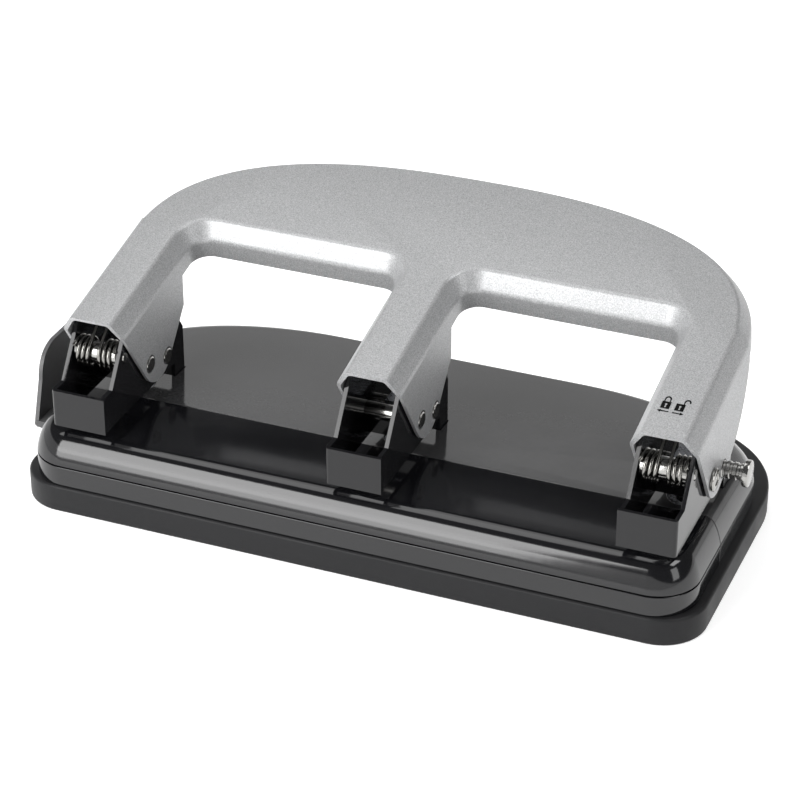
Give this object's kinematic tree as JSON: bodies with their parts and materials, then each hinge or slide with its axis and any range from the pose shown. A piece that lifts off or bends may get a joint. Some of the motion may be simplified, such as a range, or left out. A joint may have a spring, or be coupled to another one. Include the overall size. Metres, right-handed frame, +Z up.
{
  "type": "three-hole desk punch",
  "caption": "Desk paper punch: a pressed steel lever handle on a row of spring-loaded punch heads, over a base with a chip tray, a side paper guide and a lock knob.",
  "frame": {"origin": "on the table, on the tray's flat underside, straight below the middle punch", "axes": "+X along the row of holes towards the lock knob, +Y away from the user and the paper, +Z up"},
  "size_m": [0.2714, 0.1394, 0.0977],
  "materials": {
    "handle_paint": "silver metallic paint, satin",
    "front_cover": "black, polished",
    "rear_deck": "black, gloss",
    "tray": "black, matte",
    "head_sheet": "black lacquer on pressed sheet",
    "bright_pins": "nickel plated, bright",
    "spring_wire": "bright spring wire",
    "tool_steel": "hardened, ground",
    "zinc_steel": "zinc plated"
  },
  "bodies": {
    "tray": {"chip_tray": "tray"},
    "base": {"base_front_cover": "front_cover", "base_rear_deck": "rear_deck", "frame_plate": "zinc_steel", "guide_rail": "zinc_steel", "spring_shaft_left": "bright_pins", "spring_shaft_right": "bright_pins", "cover_screw_front_left": "zinc_steel", "cover_screw_front_right": "zinc_steel", "cover_screw_rear_left": "zinc_steel", "cover_screw_rear_right": "zinc_steel", "head_screw_left_outer": "zinc_steel", "head_screw_left_inner": "zinc_steel", "head_screw_middle_outer": "zinc_steel", "head_screw_middle_inner": "zinc_steel", "head_screw_right_outer": "zinc_steel", "head_screw_right_inner": "zinc_steel", "return_spring_left_a": "spring_wire", "return_spring_left_b": "spring_wire", "return_spring_right_a": "spring_wire", "return_spring_right_b": "spring_wire", "die_left": "tool_steel", "die_middle": "tool_steel", "die_right": "tool_steel", "head_bracket_left": "head_sheet", "head_bracket_middle": "head_sheet", "head_bracket_right": "head_sheet", "pivot_pin_left": "bright_pins", "pivot_pin_middle": "bright_pins", "pivot_pin_right": "bright_pins"},
    "handle": {"handle": "handle_paint", "drive_pin_left": "bright_pins", "drive_pin_middle": "bright_pins", "drive_pin_right": "bright_pins"},
    "lock": {"lock_knob": "bright_pins"},
    "guide": {"paper_guide": "tray"},
    "punch_left": {"punch_pin_left": "tool_steel"},
    "punch_middle": {"punch_pin_middle": "tool_steel"},
    "punch_right": {"punch_pin_right": "tool_steel"}
  },
  "joints": [
    {"name": "base_lift", "type": "slide", "parent": "tray", "child": "base", "axis": [0, 0, 1], "range_m": [0, 0.012]},
    {"name": "handle_press", "type": "hinge", "parent": "base", "child": "handle", "pos_m": [0, -0.0118, 0.0464], "axis": [1, 0, 0], "range_deg": [-29, 0], "stiffness_Nm_per_rad": 0.6, "springref_deg": 45.84, "deforming": ["return_spring_left_a", "return_spring_left_b", "return_spring_right_a", "return_spring_right_b"]},
    {"name": "punch_left_drive", "type": "slide", "parent": "base", "child": "punch_left", "axis": [0, 0, 1], "range_m": [-0.0064, 0]},
    {"name": "punch_middle_drive", "type": "slide", "parent": "base", "child": "punch_middle", "axis": [0, 0, 1], "range_m": [-0.0064, 0]},
    {"name": "punch_right_drive", "type": "slide", "parent": "base", "child": "punch_right", "axis": [0, 0, 1], "range_m": [-0.0064, 0]},
    {"name": "lock_slide", "type": "slide", "parent": "handle", "child": "lock", "axis": [1, 0, 0], "range_m": [-0.0055, 0]},
    {"name": "guide_slide", "type": "slide", "parent": "base", "child": "guide", "axis": [1, 0, 0], "range_m": [-0.012, 0.004]}
  ],
  "couplings": [
    {"joint": "punch_left_drive", "follows": "handle_press", "m_per_rad": 0.012358},
    {"joint": "punch_middle_drive", "follows": "handle_press", "m_per_rad": 0.012358},
    {"joint": "punch_right_drive", "follows": "handle_press", "m_per_rad": 0.012358}
  ]
}
